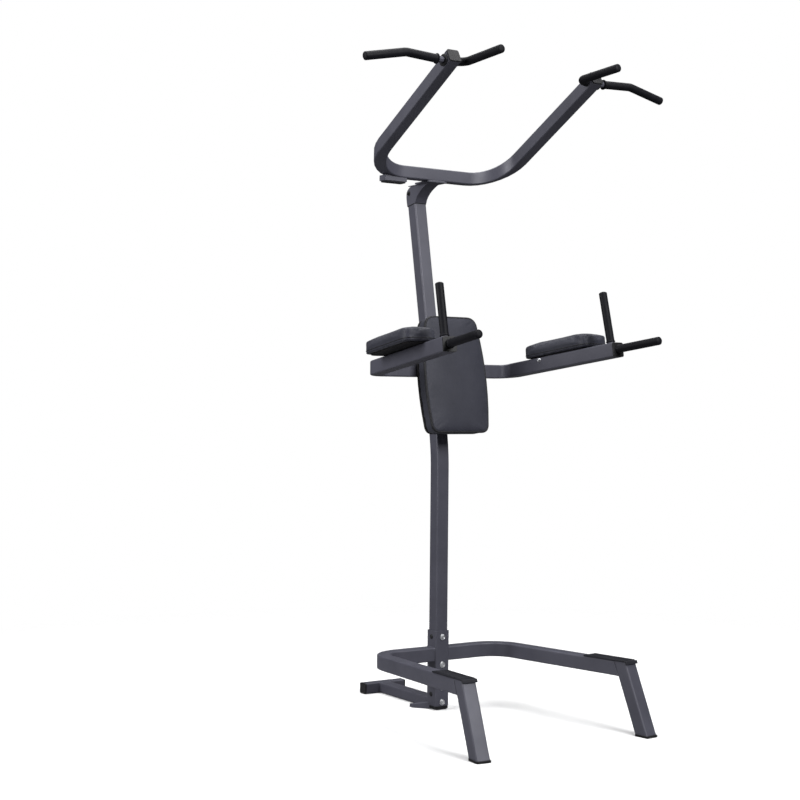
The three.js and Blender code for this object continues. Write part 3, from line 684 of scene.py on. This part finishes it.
def make_cushion(node, turn, depth_axis, facing, seam_share, bead):
    """`seam_share` is how far up the side the seam runs, from -1 at the board to 1 at the face."""
    space = PadSpace(node, turn, depth_axis, facing)
    piece = new_piece(f"{node}_cushion", flat_cushion(space), leatherette)
    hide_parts(node)
    seam = space.deep * seam_share

    def pinned(points):
        depth, gap = space.measure(points)
        on_board = depth < BOARD_REACH - space.deep
        on_seam = (np.abs(depth - seam) < SEAM_REACH) & (gap < OUTLINE_REACH)
        return [int(index) for index in np.flatnonzero(on_board | on_seam)]

    swollen = swell(piece, pinned)
    smooth = piece.modifiers.new("smooth", "SUBSURF")
    smooth.levels = smooth.render_levels = 1

    # The piping bead and the stitches take the near-black seam vinyl: painted shade for the dark band where
    # each pad's rounded rim turns away from the light.
    piping = bmesh.new()
    points = [space.spot(u, v, seam) for u, v in space.loop(0.005, -0.3 * bead)]
    sweep_into(piping, points, [bead] * len(points), 10, closed=True)
    new_piece(f"{node}_piping", piping, seam_vinyl_painted_shade)

    stitches = bmesh.new()
    loop = space.loop(STITCH_STEP, 0.0004)
    for k in range(0, len(loop) - 1, 2):
        ends = [space.spot(*spot, seam - STITCH_DROP) for spot in loop[k:k + 2]]
        sweep_into(stitches, ends, [STITCH_RADIUS] * 2, 6)
    new_piece(f"{node}_stitches", stitches, seam_vinyl_painted_shade)
    print(f"{node}: {2000 * space.half.x:.0f} x {2000 * space.half.y:.0f} x {2000 * space.half.z:.0f} mm, "
          f"{len(loop) // 2} stitches, swelled {1000 * swollen:.1f} mm")


pad_turn = Matrix.Rotation(-math.radians(COLUMN_LEAN), 4, "X")
make_cushion("back_pad", pad_turn, 1, -1, 0.62, 0.0048)
for side_name, side in SIDES:
    make_cushion(f"{side_name}_forearm_pad", arm_turn(side), 2, 1, -0.55, 0.0018)

# %% [markdown]
# ## Grips
# Every bar carries a moulded foam-rubber sleeve. A sleeve has a thin rolled flange at its
# mouth, a long barely tapered body and a domed closed end. The sweeps follow the bars'
# own axes, so the sleeves stay concentric with the steel inside them.


# %% Grip helper
def arc_route(corners, bend, spacing):
    """Points along straight stretches joined by round bends, evenly spaced."""
    points = [corners[0]]
    for before, corner, after in zip(corners, corners[1:], corners[2:]):
        into = (corner - before).normalized()
        away = (after - corner).normalized()
        angle = into.angle(away)
        setback = bend * math.tan(angle / 2)
        start = corner - into * setback
        axis = into.cross(away).normalized()
        hub = start + axis.cross(into) * bend
        steps = max(4, round(bend * angle / spacing))
        for k in range(steps + 1):
            points.append(hub + Matrix.Rotation(angle * k / steps, 3, axis) @ (start - hub))
    points.append(corners[-1])
    path = np.array(points)
    lengths = np.concatenate([[0], np.cumsum(np.linalg.norm(np.diff(path, axis=0), axis=1))])
    wanted = np.linspace(0, lengths[-1], max(2, round(lengths[-1] / spacing)) + 1)
    return [Vector([np.interp(w, lengths, path[:, axis]) for axis in range(3)]) for w in wanted]


def along(points):
    steps = [(b - a).length for a, b in zip(points, points[1:])]
    return np.concatenate([[0], np.cumsum(steps)])


GRIP_RADIUS = 0.0145
SLEEVE_END = 0.006
GRIP_STEP = 0.0015


def make_grip(node, points, flange=0.0022):
    """A sleeve from its mouth at the first point to its domed end at the last."""
    lengths = along(points)
    total = lengths[-1]
    radii = []
    for distance in lengths:
        radius = GRIP_RADIUS - 0.0004
        mouth = distance / SLEEVE_END
        if mouth < 1:
            radius += flange * math.sqrt(max(0.0, 1 - (2 * mouth - 1) ** 2))
        end = (total - distance) / SLEEVE_END
        if end < 1:
            radius *= math.sqrt(max(0.12, 1 - (1 - end) ** 2))
        radii.append(radius)
    bm = bmesh.new()
    sweep_into(bm, points, radii, 28)
    piece = new_piece(node + "_sleeve", bm, grip_rubber)
    crease = piece.modifiers.new("weighted", "WEIGHTED_NORMAL")
    crease.keep_sharp = True
    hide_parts(node)
    return total


for side_name, side in SIDES:
    for kind, nearest in (("upright", lambda end: end.z), ("forward", lambda end: -end.y)):
        mouth, end = sorted(axis_of(f"{side_name}_{kind}_grip"), key=nearest)
        length = make_grip(f"{side_name}_{kind}_grip", arc_route([mouth, end], 0.01, GRIP_STEP))
        print(f"{side_name} {kind} grip {1000 * length:.0f} mm")

# %% [markdown]
# ### Pull-up grips
# Each pull-up arm has an outer grip that droops outward for wide pull-ups, and an inner
# one that turns forward for a close hold. Their corners repeat the bars' own routes.

# %% Pull-up grips
PULLUP_HALF = 0.0225
ARM_SKIN = PULLUP_HALF + 0.0009
OUTER_SETBACK, INNER_SETBACK = 0.024, 0.022
OUTER_MOUTH, INNER_MOUTH = 0.026, 0.002
OUTER_BEND, INNER_BEND = 0.070, 0.030
OUTER_FLANGE, INNER_FLANGE = 0.0036, 0.0010
OUTER_REACH, OUTER_SPAN, OUTER_DROP = 0.150, 0.154, 0.032
INNER_INSET, INNER_REACH = 0.034, 0.205
TIP_CAP = 0.0033


def pullup_axis(side):
    splay, rise = math.radians(PULLUP_SPLAY), math.radians(PULLUP_RISE)
    level = math.cos(rise)
    return Vector((side * math.sin(splay) * level, -math.cos(splay) * level, math.sin(rise)))


def trimmed(corners, start):
    head = (corners[1] - corners[0]).normalized()
    return [corners[0] + head * start, *corners[1:]]


for side_name, side in SIDES:
    low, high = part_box(f"{side_name}_pullup_arm_cap")
    axis = pullup_axis(side)
    tip = (low + high) / 2 - axis * TIP_CAP
    root = tip - axis * OUTER_SETBACK + Vector((side * ARM_SKIN, 0, 0))
    bend = root + Vector((side * OUTER_REACH, -0.004, 0.006))
    end = bend + Vector((side * OUTER_SPAN, 0.006, -OUTER_DROP))
    route = arc_route(trimmed([root, bend, end], OUTER_MOUTH), OUTER_BEND, GRIP_STEP)
    outer = make_grip(f"{side_name}_outer_pullup_grip", route, OUTER_FLANGE)
    heel = tip - axis * INNER_SETBACK - Vector((side * ARM_SKIN, 0, 0))
    elbow = heel + Vector((-side * INNER_INSET, -0.002, 0.001))
    nose = elbow + Vector((0, -INNER_REACH, 0.008))
    route = arc_route(trimmed([heel, elbow, nose], INNER_MOUTH), INNER_BEND, GRIP_STEP)
    inner = make_grip(f"{side_name}_inner_pullup_grip", route, INNER_FLANGE)
    collar = bmesh.new()
    outwards = (bend - root).normalized()
    lathe_into(collar, [(0.0135, 0.0), (0.0190, 0.0002), (0.0200, 0.0012), (0.0200, 0.0040),
                        (0.0188, 0.0052), (0.0135, 0.0056)], root - outwards * 0.0004, outwards)
    new_piece(f"{side_name}_outer_bar_collar", collar, plastic.material)
    print(f"{side_name} pull-up grips {1000 * outer:.0f} and {1000 * inner:.0f} mm")

# %% [markdown]
# ## Fasteners and plugs
# Four bolts clamp the column in its socket. Each is a hexagon flange bolt in bright zinc:
# a dished flange, a chamfered hexagon and a shallow dimple in its crown. A smaller one on
# each dip arm's inner face holds its forearm pad, and one under a black cap joins the
# neck. The socket's sides carry black press-in plugs where the tooling holes are.


# %% Bolts
SOCKET_BOLT, FOREARM_BOLT, NECK_BOLT = 0.0112, 0.0080, 0.0088
HEAD_HEIGHT = 0.0076
HEAD_SIDES = 24
HEAD_RINGS = ((0.74, 0.0022), (0.74, 0.0062), (0.64, 0.0072), (0.34, 0.0074), (0.26, 0.0067))


def make_bolt(node, outward, size):
    """A flange bolt head on the face it clamps, from the node's own outermost point."""
    points = corners_of(node)
    reach = points @ np.array(outward)
    crown = float(reach.max())
    centre = Vector((points.min(0) + points.max(0)) / 2)
    seat = centre + outward * (crown - HEAD_HEIGHT - centre.dot(outward))
    bm = bmesh.new()
    lathe_into(bm, [(size * 0.42, -0.012), (size * 0.42, 0.0004), (size, 0.0004), (size, 0.0012),
                    (size * 0.93, 0.0019), (size * 0.80, 0.0024), (size * 0.5, 0.0026)], seat, outward)
    turn = Vector((0, 0, 1)).rotation_difference(outward)
    rings = []
    for scale, height in HEAD_RINGS:
        rings.append([])
        for k in range(HEAD_SIDES):
            angle = math.radians(15 * k)
            corner = 1.0 if height > 0.0065 else math.cos(math.radians(30)) / math.cos(
                math.radians((15 * k) % 60 - 30))
            spot = Vector((math.cos(angle), math.sin(angle), 0)) * size * scale * corner
            rings[-1].append(bm.verts.new(seat + turn @ (spot + Vector((0, 0, height)))))
    join_rings(bm, rings)
    piece = new_piece(node + "_head", bm, zinc.material, smooth=False)
    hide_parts(node)
    soften(piece, 0.0002, sharp=30)
    return piece


FRONT = Vector((0, -1, 0))
for number in range(1, 5):
    make_bolt(f"sleeve_bolt_{number}", FRONT, SOCKET_BOLT)
for side_name, side in SIDES:
    inward = (arm_turn(side).to_3x3() @ Vector((-side, 0, 0))).normalized()
    make_bolt(f"{side_name}_forearm_bolt", inward, FOREARM_BOLT)
neck = make_bolt("neck_bolt", Vector((-1, 0, 0)), NECK_BOLT)
neck.data.materials[0] = plastic.material
print("7 bolt heads")


# %% Plugs on the socket's sides
PLUG_RADIUS, PLUG_HEIGHTS = 0.0085, (0.263, 0.055)


def make_plug(name, seat, outward, radius):
    bm = bmesh.new()
    lathe_into(bm, [(radius * 0.8, -0.004), (radius, 0.0003), (radius, 0.0012), (radius * 0.86, 0.0024),
                    (radius * 0.5, 0.0031), (radius * 0.1, 0.0033)], seat, outward, 24)
    new_piece(name, bm, plastic.material)


for side_name, side in SIDES:
    outward = Vector((side, 0, 0))
    for number, height in enumerate(PLUG_HEIGHTS, 1):
        spot = Vector((side * SOCKET_HALF, socket.y, height))
        make_plug(f"{side_name}_socket_plug_{number}", spot, outward, PLUG_RADIUS)
print("4 socket plugs")

# %% [markdown]
# ## Welds
# The base arms and legs, the socket, the saddle, the plate on the neck and every steel bar
# are welded. The CAD leaves a hairline gap at each joint, and a bead closes it: a fillet with the
# ripples of a torch that moves in short steps, sprayed over with the same powder coat.


# %% Weld helper
WELD_STEP, RIPPLE = 0.0014, 0.0042


def weld_bead(name, points, radius=0.0022, closed=True):
    """A bead through the points, rippled along its length and a little uneven."""
    lengths = along(points)
    radii = [radius * (1 + 0.14 * math.sin(2 * math.pi * d / RIPPLE)
                       + 0.18 * noise.noise(point * 160)) for d, point in zip(lengths, points)]
    bm = bmesh.new()
    sweep_into(bm, points, radii, 8, closed=closed)
    new_piece(name, bm, coat.material)


def ring_on(place, half_u, half_v, radius=0.005):
    """A rounded rectangle of points, put in space by `place(u, v)`."""
    return [place(u, v) for u, v in rounded_loop(half_u, half_v, radius, WELD_STEP)]


print("weld helper ready")

# %% Base welds
LEG_REACH, LEG_RAKE = 0.668, 20.6
rake_slope = math.tan(math.radians(LEG_RAKE + BASE_RISE))
leg_depth = 2 * TUBE_HALF / math.cos(math.radians(LEG_RAKE + BASE_RISE))
BASE_Z = 0.200
ARM_BEHIND = 0.003
BASE_HALF_WIDTH = 0.2675
base_frames = {side_name: tilted(Vector((side * BASE_HALF_WIDTH, socket.y + ARM_BEHIND, BASE_Z)),
                                 side * BASE_SPLAY, -BASE_RISE) for side_name, side in SIDES}
for side_name, side in SIDES:
    weld_bead(f"{side_name}_arm_socket_weld", ring_on(
        lambda u, v: Vector((side * (SOCKET_HALF + 0.0006), socket.y + ARM_BEHIND + u, BASE_Z + v)),
        TUBE_HALF, TUBE_HALF))
    turn = base_frames[side_name]
    weld_bead(f"{side_name}_leg_weld", ring_on(
        lambda u, v: turn @ Vector((u, leg_depth - LEG_REACH - (TUBE_HALF - v) * rake_slope, v)),
        TUBE_HALF - 0.0006, TUBE_HALF - 0.0006), 0.0015)
tube_low, tube_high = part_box("rear_stabilizer_tube")
tube_middle, tube_half = (tube_low + tube_high) / 2, (tube_high - tube_low) / 2
for name, y in (("rear_tube_socket_weld", tube_low.y), ("rear_tube_foot_weld", tube_high.y)):
    weld_bead(name, ring_on(lambda u, v: Vector((u, y, tube_middle.z + v)),
                            tube_half.x - 0.0006, tube_half.z - 0.0016), 0.0016)
print("6 base welds")

# %% Upper welds
saddle_low, saddle_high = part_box("dip_frame_saddle")
saddle_half = (saddle_high.x - saddle_low.x) / 2
saddle_z = (saddle_low.z + saddle_high.z) / 2
crossbar_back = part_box("dip_arm_frame")[1].y + 0.0002
weld_bead("saddle_crossbar_weld", ring_on(
    lambda u, v: Vector((u, crossbar_back, saddle_z + v)), saddle_half, TUBE_HALF - 0.003, 0.003), 0.0018)
plate_low, plate_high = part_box("pullup_mounting_plate")
plate_half = (plate_high - plate_low) / 2
PLATE_CORNER = 0.009
crossbar_y = sum(corner.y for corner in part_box("crossbar_rest")) / 2
for edge, y in (("front", -1), ("rear", 1)):
    line = [Vector((x, crossbar_y + y * (PULLUP_HALF + 0.0004), plate_high.z + 0.0008))
            for x in np.arange(-plate_half.x + PLATE_CORNER, plate_half.x - PLATE_CORNER, WELD_STEP)]
    weld_bead(f"plate_crossbar_weld_{edge}", line, 0.0020, closed=False)
neck_low, neck_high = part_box("neck_gusset")
neck_half = (neck_high.x - neck_low.x) / 2
for edge, x in (("left", -1), ("right", 1)):
    line = [Vector((x * (neck_half + 0.0004), y, neck_high.z + 0.0004))
            for y in np.arange(neck_low.y + 0.004, neck_high.y - 0.014, WELD_STEP)]
    weld_bead(f"neck_plate_weld_{edge}", line, 0.0018, closed=False)
print("5 upper welds")

# %% [markdown]
# ### Gasket at the neck
# The neck is bolted to the column, not welded. A thin black gasket shows as a dark line
# round the joint. The column's highest points, taken along its lean, give its top face.

# %% Neck gasket
GASKET_RADIUS = 0.0017
lean = math.radians(COLUMN_LEAN)
column_points = corners_of("column")
heights = column_points @ np.array((0, math.sin(lean), math.cos(lean)))
top_face = column_points[heights > heights.max() - 0.001]
joint_turn = tilted(Vector((top_face.min(0) + top_face.max(0)) / 2), 0, -COLUMN_LEAN)
joint_half = TUBE_HALF + 0.0002
rim = ring_on(lambda u, v: joint_turn @ Vector((u, v, 0)), joint_half, joint_half)
gasket = bmesh.new()
sweep_into(gasket, rim, [GASKET_RADIUS] * len(rim), 8, closed=True)
new_piece("neck_joint_gasket", gasket, plastic.material)
print("gasket", len(rim), "points round the joint")

# %% [markdown]
# ### Welds at the grip bars
# Each straight bar stands on its dip arm's end in a round bead.

# %% Bar welds
BAR_WELD_RADIUS = 0.0114
for side_name, side in SIDES:
    for kind in ("upright", "forward"):
        ends = sorted(axis_of(f"{side_name}_{kind}_bar"),
                      key=(lambda end: end.z) if kind == "upright" else (lambda end: -end.y))
        direction = (ends[1] - ends[0]).normalized()
        a = direction.orthogonal().normalized()
        b = direction.cross(a)
        circle = [ends[0] + direction * 0.0012 + (a * math.cos(t) + b * math.sin(t)) * BAR_WELD_RADIUS
                  for t in np.linspace(0, 2 * math.pi, 50, endpoint=False)]
        weld_bead(f"{side_name}_{kind}_bar_weld", circle)
print("4 bar welds")

# %% [markdown]
# ## Small moulded and pressed parts
# The foot rests at the front of the base arms are moulded rubber treads with cross ribs.
# The lug under the pull-up crossbar has a black rubber pad below it. The boards are held
# by wood screws with washers, seen only from behind.

# %% Treads
STEP_TOP = TUBE_HALF + 0.0053
STEP_FRONT = LEG_REACH - 0.006
STEP_RUN = 0.184
RIB_COUNT, RIB_PITCH, RIB_RADIUS = 21, 0.0088, 0.0013
for side_name, side in SIDES:
    turn = base_frames[side_name]
    ribs = bmesh.new()
    for k in range(RIB_COUNT):
        forward = STEP_FRONT - 0.004 - k * RIB_PITCH
        ends = [turn @ Vector((x, -forward, STEP_TOP - 0.0003)) for x in (-0.0235, -0.0225, 0.0225, 0.0235)]
        sweep_into(ribs, ends, [0.0006, RIB_RADIUS, RIB_RADIUS, 0.0006], 8)
    for x in (-0.0262, 0.0262):
        ends = [turn @ Vector((x, -forward, STEP_TOP - 0.0004))
                for forward in (STEP_FRONT, STEP_FRONT - STEP_RUN)]
        sweep_into(ribs, ends, [0.0012, 0.0012], 8)
    new_piece(f"{side_name}_step_ribs", ribs, tread_rubber)
print("tread ribs on both foot rests")

# %% Crossbar rest pad
PAD_RINGS = ((-0.0002, 0.96), (-0.0012, 1.0), (-0.0038, 1.0), (-0.0050, 0.95))
rest_low, rest_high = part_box("crossbar_rest")
rest = (rest_low + rest_high) / 2
rest_half = (rest_high - rest_low) / 2
pad = bmesh.new()
outline = rounded_loop(rest_half.x - 0.002, rest_half.y - 0.002, 0.006, 0.004)
join_rings(pad, [[pad.verts.new((rest.x + u * scale, rest.y + v * scale, rest_low.z + drop))
                  for u, v in outline] for drop, scale in PAD_RINGS])
soften(new_piece("crossbar_rest_pad", pad, tread_rubber), 0.0004)
print("rest pad", round(2000 * rest_half.x), "mm wide")

# %% Board screws
SCREW_ACROSS, SCREW_ALONG = 0.095, 0.165
SCREW_PROFILE = ((0.0085, -0.002), (0.0085, 0.0008), (0.0078, 0.0012), (0.0052, 0.0013),
                 (0.0048, 0.0028), (0.0030, 0.0038), (0.0012, 0.0036))

board_centre, board_half = local_box("back_pad_board", pad_turn)
behind = (pad_turn.to_3x3() @ Vector((0, 1, 0))).normalized()
screws = bmesh.new()
for x in (-SCREW_ACROSS, SCREW_ACROSS):
    for z in (-SCREW_ALONG, 0.0, SCREW_ALONG):
        seat = pad_turn @ (board_centre + Vector((x, board_half.y, z)))
        lathe_into(screws, SCREW_PROFILE, seat, behind, 24)
new_piece("back_board_screws", screws, zinc.material)
print("6 board screws")

# %% [markdown]
# ## Floor
# A plain pale disc under the machine takes its soft contact shadow. Its edge fades away
# into the white surround, so no horizon shows. A large white floor would throw a lot of
# light up at the tubes and flatten them, so to every ray but the eye's it is a darker grey.

# %% Floor
FLOOR_RADIUS = 3.2
FADE_FROM, FADE_TO = 0.9, 3.0
disc = bmesh.new()
bmesh.ops.create_circle(disc, cap_ends=True, segments=96, radius=FLOOR_RADIUS)
mesh = bpy.data.meshes.new("floor")
disc.to_mesh(mesh)
disc.free()
floor = bpy.data.objects.new("floor", mesh)
floor.location.z = -0.0004
bpy.context.scene.collection.objects.link(floor)
matt = bpy.data.materials.new("floor_pale")
matt.use_nodes = True
tree, links = matt.node_tree.nodes, matt.node_tree.links
shader = tree["Principled BSDF"]
shader.inputs["Base Color"].default_value = (0.90, 0.90, 0.90, 1)
shader.inputs["Roughness"].default_value = 0.8
shader.inputs["Specular IOR Level"].default_value = 0.2
bounce = tree.new("ShaderNodeBsdfDiffuse")
bounce.inputs["Color"].default_value = (0.22, 0.22, 0.23, 1)
ray = tree.new("ShaderNodeLightPath")
seen_floor = tree.new("ShaderNodeMixShader")
links.new(ray.outputs["Is Camera Ray"], seen_floor.inputs[0])
links.new(bounce.outputs[0], seen_floor.inputs[1])
links.new(shader.outputs[0], seen_floor.inputs[2])
clear = tree.new("ShaderNodeBsdfTransparent")
place = tree.new("ShaderNodeTexCoord")
distance = tree.new("ShaderNodeVectorMath")
distance.operation = "LENGTH"
links.new(place.outputs["Object"], distance.inputs[0])
fade = tree.new("ShaderNodeMapRange")
fade.interpolation_type = "SMOOTHSTEP"
fade.inputs["From Min"].default_value = FADE_FROM
fade.inputs["From Max"].default_value = FADE_TO
links.new(distance.outputs["Value"], fade.inputs["Value"])
mixed = tree.new("ShaderNodeMixShader")
links.new(fade.outputs["Result"], mixed.inputs[0])
links.new(seen_floor.outputs[0], mixed.inputs[1])
links.new(clear.outputs[0], mixed.inputs[2])
links.new(mixed.outputs[0], tree["Material Output"].inputs["Surface"])
mesh.materials.append(matt)
print("floor radius", FLOOR_RADIUS, "m")
